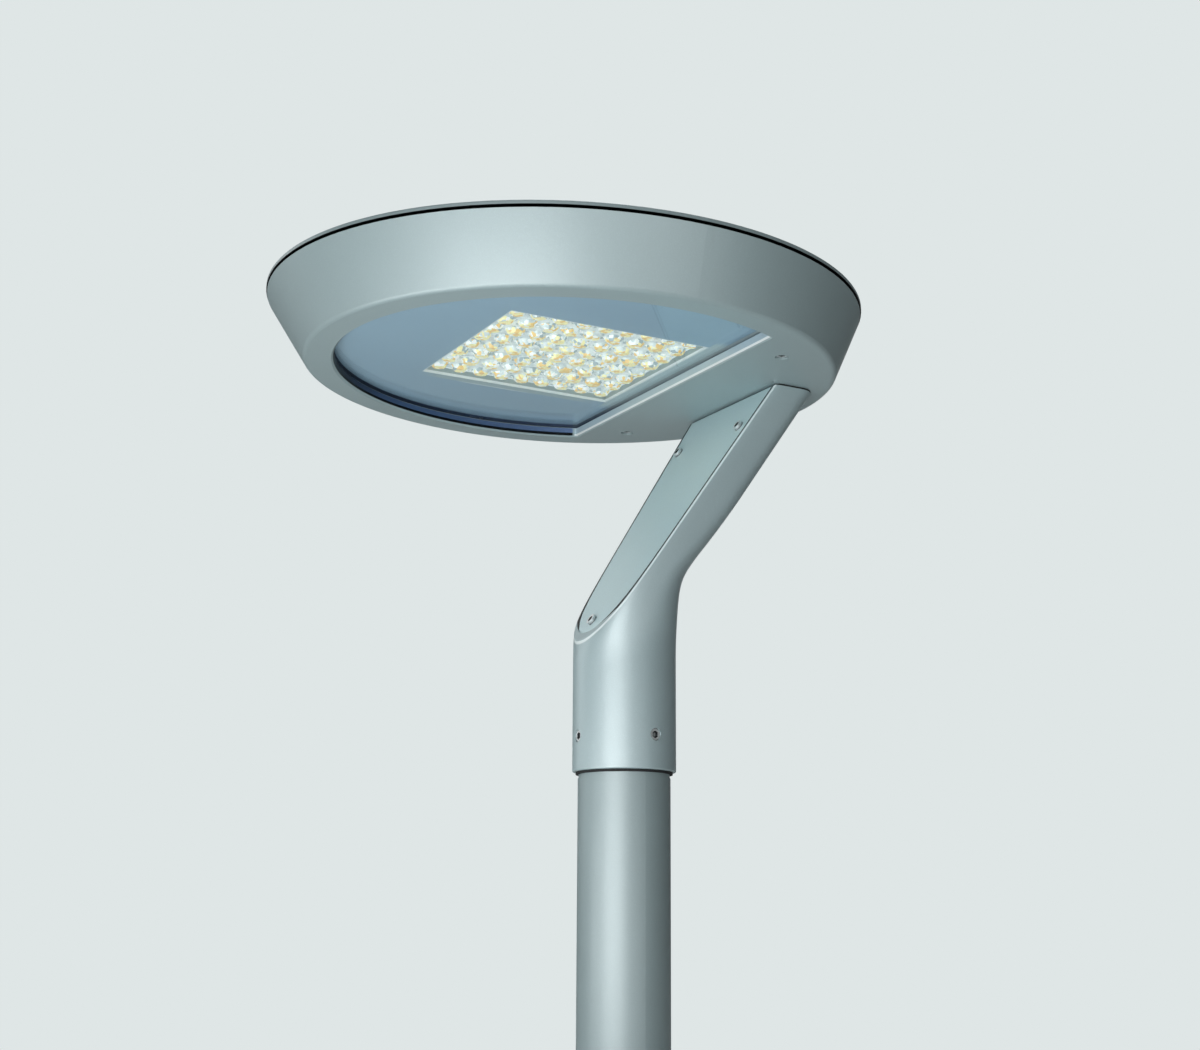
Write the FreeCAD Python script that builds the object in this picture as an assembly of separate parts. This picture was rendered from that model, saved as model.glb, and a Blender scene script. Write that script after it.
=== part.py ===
import FreeCAD, Part
import math
import os
from FreeCAD import Placement, Rotation, Vector

# Post top light: a round head on a leaning arm whose sleeve slips over a pole.
# All lengths in millimetres, angles in degrees. The origin is the centre of the
# pole's lower end, +Z is up and the light's front looks along -Y.

# Pole
pole_radius = 38.0
pole_wall = 3.0
pole_free_length = 260.0
pole_insert = 74.0
spigot_relief = 0.6
spigot_reveal = 5.0

# Sleeve, the lower end of the arm casting
sleeve_clearance = 0.3
sleeve_wall = 4.3
sleeve_edge_round = 1.2
seal_width = 2.2
seal_depth = 4.0
seal_proud = 2.0
seal_gap = 0.1
pole_stop_width = 5.0
pole_stop_thickness = 8.0

# Head position over the sleeve's lower edge
head_height = 331.0
head_reach = 52.5
head_tilt = 1.84

# Housing, lengths in the head's own frame (height zero on its underside)
underside_radius = 222.2
rim_radius = 248.4
rim_shift = 7.2
housing_height = 50.2
housing_wall = 4.0
housing_edge_round = 5.0
floor_thickness = 4.5
rim_width = 12.0
rim_thickness = 4.0
opening_margin = 24.7
opening_chord = 90.3
opening_chamfer = 2.0
head_pad_height = 14.0
head_pad_round = 10.0
head_pad_margin = 4.0

# Glass, its seat and its clips
seat_width = 10.0
seat_height = 8.0
glass_gap = 1.0
glass_thickness = 3.0
glass_gasket_thickness = 0.8
glass_gasket_inset = 1.0
clip_width = 14.0
clip_thickness = 1.5
clip_grip = 5.0
clip_boss_offset = 7.0
clip_boss_radius = 5.0
clip_angles = (-90.0, -42.0, 42.0, 90.0)
clip_chord_spacing = 160.0

# Reflector plate above the glass
plate_gap = 0.5
plate_thickness = 1.5
plate_clearance = 1.0
window_length = 189.0
window_depth = 175.0
window_centre = -8.0
spacer_radius = 4.0
spacer_margin = 22.0

# Light sources: boards side by side, lens arrays in front of them
board_count = 3
board_thickness = 1.6
board_overhang = 9.0
board_gap = 0.8
lens_rows = 8
lens_columns = 3
lens_inset = 1.0
lens_plate_thickness = 2.0
lens_rim_width = 2.0
lens_base_radius = 8.0
lens_top_radius = 5.2
lens_height = 4.0
lens_sides = 8
led_size = 3.6
led_height = 0.8
flange_clearance = 0.2
window_recess = 6.0

# Tray and heat sink over the light sources
tray_thickness = 2.5
tray_back = 140.0
tray_margin = 6.0
pillar_radius = 5.0
pillar_offset = 7.0
pillar_angles = (-115.0, -65.0, -20.0, 20.0, 65.0, 115.0)
column_clearance = 1.5
sink_length = 196.0
sink_depth = 186.0
sink_base = 4.0
sink_height = 22.0
fin_count = 14
fin_thickness = 2.2

# Lid
lid_gap = 2.0
lid_edge = 3.6
lid_edge_round = 1.4
lid_overhang = 0.8
lid_rise = 9.0
lid_wall = 3.0
lid_gasket_width = 4.0
lid_gasket_inset = 6.0
column_x = 137.7
column_y = 124.5
column_radius = 8.0
column_gap = 0.5
hook_angle = 25.0
hook_sweep = 14.0
hook_wall = 3.5
hook_reach = 2.2
hook_clearance = 0.5
hook_foot = 3.0

# Arm
arm_front = 157.3
arm_depth = 47.5
arm_half_width = 75.5
arm_wall = 5.0
arm_top_wall = 8.0
front_power = 6.0
back_power = 3.7
front_square_rise = 110.0
back_square_rise = 80.0
knee_blend = 10.0
tongue_height = 107.0
tongue_inset = 2.2
tongue_blend = 20.0
flare_blend = 2.0
arm_overrun = 24.0
section_points = 24
section_count = 23

# Arm cover, its recess and its seal
cover_thickness = 3.0
cover_rim = 2.6
cover_rim_round = 2.2
cover_gap = 0.5
cover_seal_thickness = 1.0
cover_flange = 5.0
cover_flange_width = 5.0
cover_top_gap = 0.5
boss_radius = 6.0
boss_depth = 18.0

# Gear in the arm, places along the cover measured down from the head
gear_tray_level = 30.5
gear_tray_thickness = 1.5
gear_tray_width = 62.0
gear_tray_top = 30.0
gear_tray_length = 178.0
pad_radius = 6.0
pad_spacing = 40.0
pad_first = 38.0
pad_last = 150.0
pad_length = 16.0
driver_width = 54.0
driver_length = 96.0
driver_height = 22.0
driver_top = 48.0
driver_round = 3.0
driver_foot = 7.0
driver_foot_thickness = 2.0
terminal_width = 42.0
terminal_length = 24.0
terminal_height = 15.0
terminal_top = 176.0
terminal_poles = 3
terminal_wire_radius = 2.4
terminal_screw_radius = 2.8
terminal_screw_depth = 5.0

# Head joint: seal, bolts and cable entry
head_gasket_thickness = 1.5
head_gasket_inset = 0.6
bolt_row_offset = 14.0
bolt_spacings = (60.0, 108.0)
bolt_radius = 4.0
bolt_head_radius = 7.2
bolt_head_height = 5.3
bolt_engagement = 11.0
bolt_bottom_gap = 1.0
washer_radius = 8.0
washer_thickness = 1.6
cable_radius = 9.0
gland_flange_radius = 13.0
gland_flange_height = 5.0
gland_body_radius = 10.0
gland_body_height = 12.0
gland_round = 4.0
gland_bore = 5.0
gland_spigot_gap = 0.2

# Screws
thread_gap = 0.1
shank_gap = 0.3
socket_share = 0.55
socket_depth_share = 0.5
cover_screw_radius = 2.5
cover_screw_head = 4.6
cover_screw_head_height = 3.0
cover_screw_length = 14.0
cover_screw_drop = 43.0
cover_screw_spacing = 106.0
cover_screw_low = 20.0
boss_web = 24.0
grub_radius = 5.0
grub_height = 28.0
grub_sunk = 1.0
grub_angles = (-100.0, 0.0, 100.0)
lid_screw_radius = 3.0
lid_screw_head = 5.0
lid_screw_head_height = 5.0
lid_screw_sunk = 1.5
lid_screw_grip = 7.0
lid_screw_head_gap = 0.6
tray_screw_radius = 2.5
tray_screw_head = 4.5
tray_screw_head_height = 3.0
tray_screw_length = 12.0
gear_screw_radius = 2.0
gear_screw_head = 3.8
gear_screw_head_height = 2.6
gear_screw_length = 7.0

# Worked out from the sizes above
reach = 4.0 * rim_radius
sleeve_radius = pole_radius + sleeve_clearance + sleeve_wall
sleeve_bottom = pole_free_length
spigot_radius = pole_radius - spigot_relief
bore_radius = spigot_radius + sleeve_clearance
pole_top = sleeve_bottom + pole_insert
cavity_floor = pole_top + pole_stop_thickness
head_place = Placement(
    Vector(0, -head_reach, sleeve_bottom + head_height), Rotation(Vector(1, 0, 0), -head_tilt))
arm_top = head_place.multVec(Vector(0, arm_front, 0))
tongue_z = sleeve_bottom + tongue_height
tongue_y = tongue_inset - sleeve_radius
lean = math.degrees(math.atan2(arm_top.y - tongue_y, arm_top.z - tongue_z))
knee_z = tongue_z + (2.0 * sleeve_radius - tongue_inset - arm_depth) / math.tan(math.radians(lean))
cover_place = Placement(arm_top, Rotation(Vector(1, 0, 0), 90.0 - lean))
cover_length = math.hypot(arm_top.y - tongue_y, arm_top.z - tongue_z)
tongue_lead = tongue_inset + tongue_blend - 2.0 * math.sqrt(tongue_blend * tongue_inset)
cover_recess = cover_thickness + cover_seal_thickness
cover_seat = cover_recess + cover_flange

opening_radius = underside_radius - opening_margin
glass_radius = opening_radius + seat_width - glass_gap
glass_chord = opening_chord + seat_width - glass_gap
glass_low = seat_height + glass_gasket_thickness
glass_high = glass_low + glass_thickness
plate_low = glass_high + plate_gap
plate_high = plate_low + plate_thickness
lens_low = plate_low + window_recess
lens_high = lens_low + lens_plate_thickness
board_low = lens_high + led_height
tray_low = board_low + board_thickness
tray_high = tray_low + tray_thickness
board_pitch = window_depth / board_count
row_pitch = window_length / lens_rows
column_pitch = board_pitch / lens_columns
lid_low = housing_height + lid_gap
lid_high = lid_low + lid_edge
lid_radius = rim_radius + lid_overhang
rim_place = Placement(Vector(0, -rim_shift, 0), Rotation())
column_top = housing_height - column_gap
clip_circle = glass_radius + clip_boss_offset
pillar_circle = glass_radius + pillar_offset
bolt_row = arm_front + bolt_row_offset
gland_y = bolt_row


def block(x_low, x_high, y_low, y_high, z_low, z_high):
    """A box between two corners."""
    return Part.makeBox(x_high - x_low, y_high - y_low, z_high - z_low, Vector(x_low, y_low, z_low))


def disc(radius, low, high, x=0.0, y=0.0):
    """An upright cylinder between two heights."""
    return Part.makeCylinder(radius, high - low, Vector(x, y, low))


def placed(shape, placement):
    """A copy of the shape carried into another frame."""
    copy = shape.copy()
    copy.Placement = placement.multiply(copy.Placement)
    return copy


def fuse(shapes):
    """One solid from pieces that overlap."""
    return shapes[0].multiFuse(shapes[1:]).removeSplitter()


def revolve(edges):
    """A full turn about Z of a closed outline drawn in the XZ plane."""
    face = Part.Face(Part.Wire(edges))
    return face.revolve(Vector(0, 0, 0), Vector(0, 0, 1), 360)


def outline(points):
    """The straight edges that join points (radius, height) into a closed outline."""
    corners = [Vector(r, 0, h) for r, h in points]
    return [Part.makeLine(a, b) for a, b in zip(corners, corners[1:] + corners[:1])]


def rounded_block(x_low, x_high, y_low, y_high, z_low, z_high, radius):
    """A box with its four upright edges rounded."""
    solid = block(x_low, x_high, y_low, y_high, z_low, z_high)
    upright = [e for e in solid.Edges if abs(e.tangentAt(e.FirstParameter).z) > 0.5]
    return solid.makeFillet(radius, upright)


def polygon_frustum(sides, low_radius, low, high_radius, high, x, y):
    """A tapering solid on a regular polygon, radii measured to its flats."""
    rings = []
    for radius, height in ((low_radius, low), (high_radius, high)):
        corner = radius / math.cos(math.pi / sides)
        turns = [2.0 * math.pi * (i + 0.5) / sides for i in range(sides)]
        points = [Vector(x + corner * math.cos(t), y + corner * math.sin(t), height) for t in turns]
        rings.append(Part.makePolygon(points + points[:1]))
    return Part.makeLoft(rings, True, True)


def d_shape(radius, chord, low, high):
    """A round slab cut off flat behind the chord."""
    keep = block(-reach, reach, -reach, chord, low, high)
    return disc(radius, low, high).common(keep)


def screw(radius, length, head_radius, head_height):
    """A cap screw along +Z: the head starts at height zero, below it the shank, with a hex socket."""
    socket = polygon_frustum(
        6, socket_share * head_radius, head_height * (1.0 - socket_depth_share),
        socket_share * head_radius, head_height + thread_gap, 0.0, 0.0)
    return disc(head_radius, 0, head_height).fuse(disc(radius, -length, 0)).removeSplitter().cut(socket)


def polar(circle, angle):
    """A place on a circle about the head's axis, the angle counted from the front."""
    turn = math.radians(angle)
    return circle * math.sin(turn), -circle * math.cos(turn)


def ramp(value, blend):
    """Zero, then a parabola over twice the blend, then the value itself."""
    if value <= -blend:
        return 0.0
    if value >= blend:
        return value
    return (value + blend) ** 2 / (4.0 * blend)


def front_line(z):
    """How far back the cover's plane lies at a height."""
    return tongue_y + (z - tongue_z) * math.tan(math.radians(lean))


def squareness(height, rise, power):
    """The superellipse's power: a plain ellipse below, growing smoothly over the rise."""
    share = min(max(height / rise, 0.0), 1.0)
    return 2.0 + (power - 2.0) * share * share * (3.0 - 2.0 * share)


def arm_section(z, inset):
    """One level section of the arm: a circle on the sleeve that grows into a flared, squarer
    superellipse, with the wall set in by an even amount."""
    back = sleeve_radius + ramp(front_line(z) + arm_depth - sleeve_radius, knee_blend) - inset
    front = ramp(front_line(z) - tongue_lead + sleeve_radius, tongue_blend) - sleeve_radius + inset
    flare = (arm_half_width - sleeve_radius) * (z - tongue_z) / (arm_top.z - tongue_z)
    half = sleeve_radius + ramp(flare, flare_blend) - inset
    front_square = squareness(z - tongue_z + tongue_blend, front_square_rise, front_power)
    back_square = squareness(z - knee_z + knee_blend, back_square_rise, back_power)
    centre = (front + back) / 2.0
    depth = (back - front) / 2.0
    points = []
    for i in range(section_points):
        turn = 2.0 * math.pi * i / section_points
        c = math.cos(turn)
        s = math.sin(turn)
        power = back_square if c > 0 else front_square
        size = (abs(c) ** power + abs(s) ** power) ** (-1.0 / power)
        points.append(Vector(half * size * s, centre + depth * size * c, z))
    curve = Part.BSplineCurve()
    steps = [float(i) for i in range(section_points + 1)]
    curve.interpolate(Points=points, PeriodicFlag=True, Parameters=steps)
    return Part.Wire(curve.toShape())


def arm_body(inset, low):
    """The arm's outer form set in by an amount, from a height to past the head's underside."""
    high = arm_top.z + arm_overrun
    levels = [low + (high - low) * i / (section_count - 1) for i in range(section_count)]
    return Part.makeLoft([arm_section(z, inset) for z in levels], True, False)


def cover_slab(low, high):
    """All that lies between two depths measured outward from the cover's face."""
    return placed(block(-reach, reach, -reach, reach, low, high), cover_place)


def head_slab(low, high):
    """All that lies between two heights measured from the head's underside."""
    return placed(block(-reach, reach, -reach, reach, low, high), head_place)


def on_cover_face(edge):
    """True for an edge that lies all along the cover's face."""
    back = cover_place.inverse()
    points = edge.discretize(section_points)
    return all(abs(back.multVec(p).z) < thread_gap for p in points)


def cover_screw_places():
    """Places of the cover's screws in the cover's frame."""
    half = cover_screw_spacing / 2.0
    low = cover_screw_low - cover_length
    return [(-half, -cover_screw_drop), (half, -cover_screw_drop), (0.0, low)]


def screw_boss(x, s, low, high):
    """A boss for a cover screw with a web to the nearest wall: sideways, or downward at the tongue's end."""
    half = boss_radius
    web = block(-half, half, s - boss_web, s, low, high)
    if x:
        end = x + math.copysign(boss_web, x)
        web = block(min(x, end), max(x, end), s - half, s + half, low, high)
    return placed(disc(boss_radius, low, high, x, s).fuse(web), cover_place)


def pad_places():
    """Places of the pads under the gear tray in the cover's frame."""
    half = pad_spacing / 2.0
    return [(x, -s) for s in (pad_first, pad_last) for x in (-half, half)]


def bolt_places():
    """Places of the bolts between arm and head in the head's frame."""
    return [(side * spacing / 2.0, bolt_row) for spacing in bolt_spacings for side in (-1.0, 1.0)]


def column_places():
    """Places of the lid's screw columns in the head's frame."""
    return [(-column_x, column_y), (column_x, column_y)]


def clip_frames():
    """Frames of the glass clips: origin on the clip's boss, local -X towards the glass."""
    frames = []
    for angle in clip_angles:
        x, y = polar(clip_circle, angle)
        frames.append(Placement(Vector(x, y, 0), Rotation(Vector(0, 0, 1), angle - 90.0)))
    for side in (-0.5, 0.5):
        point = Vector(side * clip_chord_spacing, glass_chord + clip_boss_offset, 0)
        frames.append(Placement(point, Rotation(Vector(0, 0, 1), 90.0)))
    return frames


def make_pole():
    """Round tube whose top is turned down a little to slip into the sleeve."""
    shoulder = sleeve_bottom - spigot_reveal
    body = fuse([disc(pole_radius, 0, shoulder), disc(spigot_radius, 0, pole_top)])
    return body.cut(disc(pole_radius - pole_wall, 0, pole_top))


def make_sleeve_seal():
    """Rubber ring in the sleeve's mouth that closes the gap to the pole."""
    low = sleeve_bottom - seal_proud
    high = sleeve_bottom + seal_depth
    outer = bore_radius + seal_width - seal_gap
    return disc(outer, low, high).cut(disc(spigot_radius + seal_gap, low, high))


def make_arm_casting():
    """Sleeve, knee and arm in one hollow casting: open below for the pole and in front for the gear."""
    body = arm_body(0.0, sleeve_bottom).cut(cover_slab(0, reach))
    body = body.cut(head_slab(-head_gasket_thickness, reach))
    foot = [e for e in body.Edges if e.BoundBox.ZMax < sleeve_bottom + thread_gap]
    body = body.makeFillet(sleeve_edge_round, foot)
    body = body.makeFillet(cover_rim_round, [e for e in body.Edges if on_cover_face(e)])
    inner = arm_body(arm_wall / 2.0, sleeve_bottom)

    cavity = arm_body(arm_wall, cavity_floor).cut(cover_slab(-cover_seat, reach))
    cavity = cavity.cut(head_slab(-head_gasket_thickness - arm_top_wall, reach))
    mouth = arm_body(cover_rim + cover_flange_width, cavity_floor).cut(cover_slab(-reach, -2.0 * cover_seat))
    mouth = mouth.cut(head_slab(-head_gasket_thickness - arm_top_wall, reach))
    recess = arm_body(cover_rim, sleeve_bottom).cut(cover_slab(-reach, -cover_recess))
    bore = disc(bore_radius, sleeve_bottom - sleeve_wall, pole_top)
    mouth_ring = disc(bore_radius + seal_width, sleeve_bottom - sleeve_wall, sleeve_bottom + seal_depth)
    throat = disc(bore_radius - pole_stop_width, pole_top, cavity_floor + pole_stop_thickness)
    body = body.cut(cavity.fuse(mouth)).cut(recess).cut(bore.fuse(throat)).cut(mouth_ring)

    bosses = []
    holes = []
    for x, s in cover_screw_places():
        bosses.append(screw_boss(x, s, -cover_recess - boss_depth, -cover_recess).common(inner))
        hole = disc(cover_screw_radius + thread_gap, -cover_screw_length - cover_recess, 0, x, s)
        holes.append(placed(hole, cover_place))
    for x, s in pad_places():
        pad = disc(pad_radius, -gear_tray_level - pad_length, -gear_tray_level, x, s)
        bosses.append(placed(pad, cover_place).common(inner))
        hole = disc(gear_screw_radius + thread_gap, -gear_tray_level - gear_screw_length, 0, x, s)
        holes.append(placed(hole, cover_place))
    body = fuse([body] + bosses)

    top = -head_gasket_thickness - arm_top_wall - bolt_head_height
    for x, y in bolt_places():
        holes.append(placed(disc(bolt_radius + shank_gap, top, 0, x, y), head_place))
    holes.append(placed(disc(cable_radius, top, 0, 0.0, gland_y), head_place))
    for angle in grub_angles:
        holes.append(placed(disc(grub_radius + thread_gap, spigot_radius, 2.0 * sleeve_radius), grub_frame(angle)))
    return body.cut(Part.makeCompound(holes))


def grub_frame(angle):
    """Frame of a grub screw: local Z points outward from the pole's axis."""
    aim = Rotation(Vector(0, 0, 1), angle).multiply(Rotation(Vector(1, 0, 0), 90.0))
    return Placement(Vector(0, 0, sleeve_bottom + grub_height), aim)


def make_grub_screws():
    """Socket grub screws that press on the pole."""
    screws = []
    outer = sleeve_radius - grub_sunk
    depth = (outer - spigot_radius) * socket_depth_share
    share = socket_share * grub_radius
    socket = polygon_frustum(6, share, outer - depth, share, outer + grub_sunk, 0.0, 0.0)
    for angle in grub_angles:
        body = disc(grub_radius, spigot_radius, outer).cut(socket)
        screws.append(placed(body, grub_frame(angle)))
    return Part.makeCompound(screws)


def make_arm_cover():
    """Flat tongue that fills the recess in the arm's front, with screw holes."""
    body = arm_body(cover_rim + cover_gap, sleeve_bottom).common(cover_slab(-cover_thickness, 0))
    body = body.cut(head_slab(-head_gasket_thickness - cover_top_gap, reach))
    for x, s in cover_screw_places():
        hole = disc(cover_screw_radius + shank_gap, -cover_recess, cover_recess, x, s)
        body = body.cut(placed(hole, cover_place))
    return body


def make_cover_gasket():
    """Flat ring under the cover, wide enough to seal round the screws."""
    body = arm_body(cover_rim + cover_gap, sleeve_bottom).common(cover_slab(-cover_recess, -cover_thickness))
    body = body.cut(head_slab(-head_gasket_thickness - cover_top_gap, reach))
    mouth = arm_body(cover_rim + cover_flange_width, sleeve_bottom)
    mouth = mouth.cut(head_slab(-head_gasket_thickness - arm_top_wall, reach))
    rings = []
    for x, s in cover_screw_places():
        rings.append(screw_boss(x, s, -cover_recess, -cover_thickness))
    ring = fuse([body.cut(mouth)] + [r.common(body) for r in rings])
    for x, s in cover_screw_places():
        hole = disc(cover_screw_radius + shank_gap, -2.0 * cover_recess, 0, x, s)
        ring = ring.cut(placed(hole, cover_place))
    return ring


def make_cover_screws():
    """Cap screws through the cover into the arm's bosses."""
    body = screw(cover_screw_radius, cover_screw_length, cover_screw_head, cover_screw_head_height)
    places = [Placement(Vector(x, s, 0), Rotation()) for x, s in cover_screw_places()]
    return Part.makeCompound([placed(placed(body, p), cover_place) for p in places])


def make_gear_tray():
    """Sheet in the arm that carries the driver and the terminals."""
    half = gear_tray_width / 2.0
    low = -gear_tray_level
    end = -gear_tray_top - gear_tray_length
    sheet = rounded_block(-half, half, end, -gear_tray_top, low, low + gear_tray_thickness, pad_radius)
    for x, s in pad_places():
        sheet = sheet.cut(disc(gear_screw_radius + shank_gap, low, low + gear_tray_thickness, x, s))
    return placed(sheet, cover_place)


def make_gear_tray_screws():
    """Cap screws through the gear tray into the arm's pads."""
    body = screw(gear_screw_radius, gear_screw_length, gear_screw_head, gear_screw_head_height)
    level = gear_tray_thickness - gear_tray_level
    places = [Placement(Vector(x, s, level), Rotation()) for x, s in pad_places()]
    return Part.makeCompound([placed(placed(body, p), cover_place) for p in places])


def make_driver():
    """Driver case, an extruded rounded box with a foot at each end."""
    low = gear_tray_thickness - gear_tray_level
    half = driver_width / 2.0
    end = -driver_top - driver_length
    case = rounded_block(-half, half, 0, driver_height, 0, driver_length, driver_round)
    aim = Placement(Vector(0, -driver_top, low), Rotation(Vector(1, 0, 0), 90.0))
    case = placed(case, aim)
    foot_half = (pad_spacing - 2.0 * gear_screw_head) / 2.0 - driver_round
    top = low + driver_foot_thickness
    foot = block(-foot_half, foot_half, end - driver_foot, driver_foot - driver_top, low, top)
    return placed(fuse([case, foot]), cover_place)


def make_terminal_block():
    """Terminal block: a row of poles, each with a wire hole and a screw well."""
    low = gear_tray_thickness - gear_tray_level
    half = terminal_width / 2.0
    end = -terminal_top - terminal_length
    pitch = terminal_width / terminal_poles
    body = block(-half, half, end, -terminal_top, low, low + terminal_height)
    middle = (end - terminal_top) / 2.0
    for i in range(terminal_poles):
        x = (i + 0.5) * pitch - half
        wire = Part.makeCylinder(
            terminal_wire_radius, terminal_length, Vector(x, end, low + terminal_height / 2.0), Vector(0, 1, 0))
        well = disc(terminal_screw_radius, low + terminal_height - terminal_screw_depth,
                    low + terminal_height, x, middle)
        body = body.cut(wire).cut(well)
    return placed(body, cover_place)


def make_head_gasket():
    """Flat seal between the arm's top and the head's underside."""
    body = arm_body(head_gasket_inset, sleeve_bottom).common(head_slab(-head_gasket_thickness, 0))
    body = body.cut(cover_slab(-cover_thickness, reach))
    for x, y in bolt_places():
        hole = disc(bolt_radius + shank_gap, -2.0 * head_gasket_thickness, head_gasket_thickness, x, y)
        body = body.cut(placed(hole, head_place))
    hole = disc(cable_radius, -2.0 * head_gasket_thickness, head_gasket_thickness, 0.0, gland_y)
    return body.cut(placed(hole, head_place))


def make_head_bolts():
    """Hex bolts that pull the head down on the arm, put in from inside the arm."""
    seat = -head_gasket_thickness - arm_top_wall - washer_thickness
    bolts = []
    for x, y in bolt_places():
        head = polygon_frustum(6, bolt_head_radius, seat - bolt_head_height, bolt_head_radius, seat, x, y)
        bolts.append(placed(head.fuse(disc(bolt_radius, seat, bolt_engagement, x, y)), head_place))
    return Part.makeCompound(bolts)


def make_head_washers():
    """Plain washers under the bolt heads."""
    high = -head_gasket_thickness - arm_top_wall
    low = high - washer_thickness
    rings = []
    for x, y in bolt_places():
        ring = disc(washer_radius, low, high, x, y).cut(disc(bolt_radius + shank_gap, low, high, x, y))
        rings.append(placed(ring, head_place))
    return Part.makeCompound(rings)


def make_cable_gland():
    """Gland on the pad inside the head: spigot, hex flange and domed nut round the lead's bore."""
    low = head_pad_height
    high = low + gland_flange_height
    flange = polygon_frustum(6, gland_flange_radius, low, gland_flange_radius, high, 0.0, gland_y)
    nut = disc(gland_body_radius, high, high + gland_body_height, 0.0, gland_y)
    crown = [e for e in nut.Edges if e.BoundBox.ZMin > high + gland_body_height - gland_round / 2.0]
    nut = nut.makeFillet(gland_round, crown)
    spigot = disc(cable_radius - gland_spigot_gap, 0, low, 0.0, gland_y)
    body = fuse([flange, nut, spigot])
    return placed(body.cut(disc(gland_bore, 0, high + gland_body_height, 0.0, gland_y)), head_place)


def wall_ring(height, inset):
    """A level circle of the housing's wall: it grows and moves forward from the floor to the rim."""
    share = height / housing_height
    radius = underside_radius + (rim_radius - underside_radius) * share - inset
    return Part.Wire(Part.makeCircle(radius, Vector(0, -rim_shift * share, height)))


def housing_shell():
    """The head's bowl: flat floor, leaning cone wall and inward rim."""
    slope = (rim_radius - underside_radius) / housing_height
    thick = housing_wall * math.hypot(1.0, slope)
    under = housing_height - rim_thickness
    shell = Part.makeLoft([wall_ring(0, 0), wall_ring(housing_height, 0)], True, True)
    foot = [e for e in shell.Edges if e.BoundBox.ZMax < thread_gap]
    shell = shell.makeFillet(housing_edge_round, foot)
    inner = Part.makeLoft([wall_ring(floor_thickness, thick), wall_ring(under, thick)], True, True)
    mouth = placed(disc(rim_radius - rim_width, floor_thickness, housing_height), rim_place)
    low_mouth = mouth.cut(disc(reach, 0, under))
    return shell.cut(inner).cut(low_mouth)


def make_housing():
    """Bowl with the D-shaped opening, the glass seat, pillars, screw columns and the pad over the arm."""
    opening = d_shape(opening_radius, opening_chord, -floor_thickness, 2.0 * seat_height)
    seat = d_shape(opening_radius + seat_width, opening_chord + seat_width, 0, seat_height)
    flare = d_shape(opening_radius + opening_chamfer, opening_chord + opening_chamfer, 0, opening_chamfer)
    low_edges = [e for e in flare.Edges if e.BoundBox.ZMin > opening_chamfer - thread_gap]
    flare = flare.makeChamfer(opening_chamfer - thread_gap, low_edges)

    pad_half = arm_half_width - head_pad_margin
    pad = rounded_block(-pad_half, pad_half, arm_front, arm_front + arm_depth - head_pad_margin,
                        0, head_pad_height, head_pad_round)
    pieces = [housing_shell(), seat, pad]
    for angle in pillar_angles:
        x, y = polar(pillar_circle, angle)
        pieces.append(disc(pillar_radius, 0, tray_low, x, y))
    for frame in clip_frames():
        pieces.append(placed(disc(clip_boss_radius, 0, glass_high), frame))
    for x, y in column_places():
        pieces.append(disc(column_radius, 0, column_top, x, y))
    body = fuse(pieces).cut(opening).cut(flare)

    holes = []
    for angle in pillar_angles:
        x, y = polar(pillar_circle, angle)
        holes.append(disc(tray_screw_radius + thread_gap, tray_low - tray_screw_length, tray_low, x, y))
    for x, y in column_places():
        holes.append(disc(lid_screw_radius + shank_gap, 0, column_top, x, y))
        head = lid_screw_head + lid_screw_head_gap
        holes.append(disc(head, 0, lid_screw_sunk + lid_screw_head_height, x, y))
    for x, y in bolt_places():
        holes.append(disc(bolt_radius + thread_gap, 0, bolt_engagement + bolt_bottom_gap, x, y))
    holes.append(disc(cable_radius, 0, head_pad_height, 0.0, gland_y))
    return placed(body.cut(Part.makeCompound(holes)), head_place)


def make_glass_gasket():
    """Flat D-shaped ring on the seat, under the pane."""
    outer = d_shape(glass_radius, glass_chord, seat_height, glass_low)
    inner = d_shape(opening_radius + glass_gasket_inset, opening_chord + glass_gasket_inset, seat_height, glass_low)
    return placed(outer.cut(inner), head_place)


def make_glass():
    """Flat D-shaped pane."""
    return placed(d_shape(glass_radius, glass_chord, glass_low, glass_high), head_place)


def make_glass_clips():
    """Flat clips on their bosses that press on the pane's edge."""
    half = clip_width / 2.0
    low = glass_high
    clip = block(-clip_boss_offset - clip_grip, clip_boss_radius, -half, half, low, low + clip_thickness)
    return Part.makeCompound([placed(placed(clip, f), head_place) for f in clip_frames()])


def make_reflector_plate():
    """D-shaped sheet over the glass: a window with upturned walls, and studs up to the tray."""
    inset = clip_grip + plate_clearance
    sheet = d_shape(glass_radius - inset, glass_chord - inset, plate_low, plate_high)
    half_x = window_length / 2.0
    half_y = window_depth / 2.0
    top = board_low - flange_clearance
    out_x = half_x + plate_thickness
    out_y = half_y + plate_thickness
    frame = block(-out_x, out_x, window_centre - out_y, window_centre + out_y, plate_low, top)
    hole = block(-half_x, half_x, window_centre - half_y, window_centre + half_y, 0, tray_high)
    pieces = [sheet, frame]
    for x in (-half_x - spacer_margin, half_x + spacer_margin):
        for y in (window_centre - half_y + spacer_margin, window_centre + half_y - spacer_margin):
            pieces.append(disc(spacer_radius, plate_low, tray_low, x, y))
    return placed(fuse(pieces).cut(hole), head_place)


def board_centre(index):
    """How far back the middle of a board lies, counted from the front."""
    return window_centre + (index - (board_count - 1) / 2.0) * board_pitch


def light_places(index):
    """Places of the light sources on one board."""
    places = []
    for column in range(lens_columns):
        y = board_centre(index) + (column - (lens_columns - 1) / 2.0) * column_pitch
        for row in range(lens_rows):
            places.append(((row - (lens_rows - 1) / 2.0) * row_pitch, y))
    return places


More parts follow.
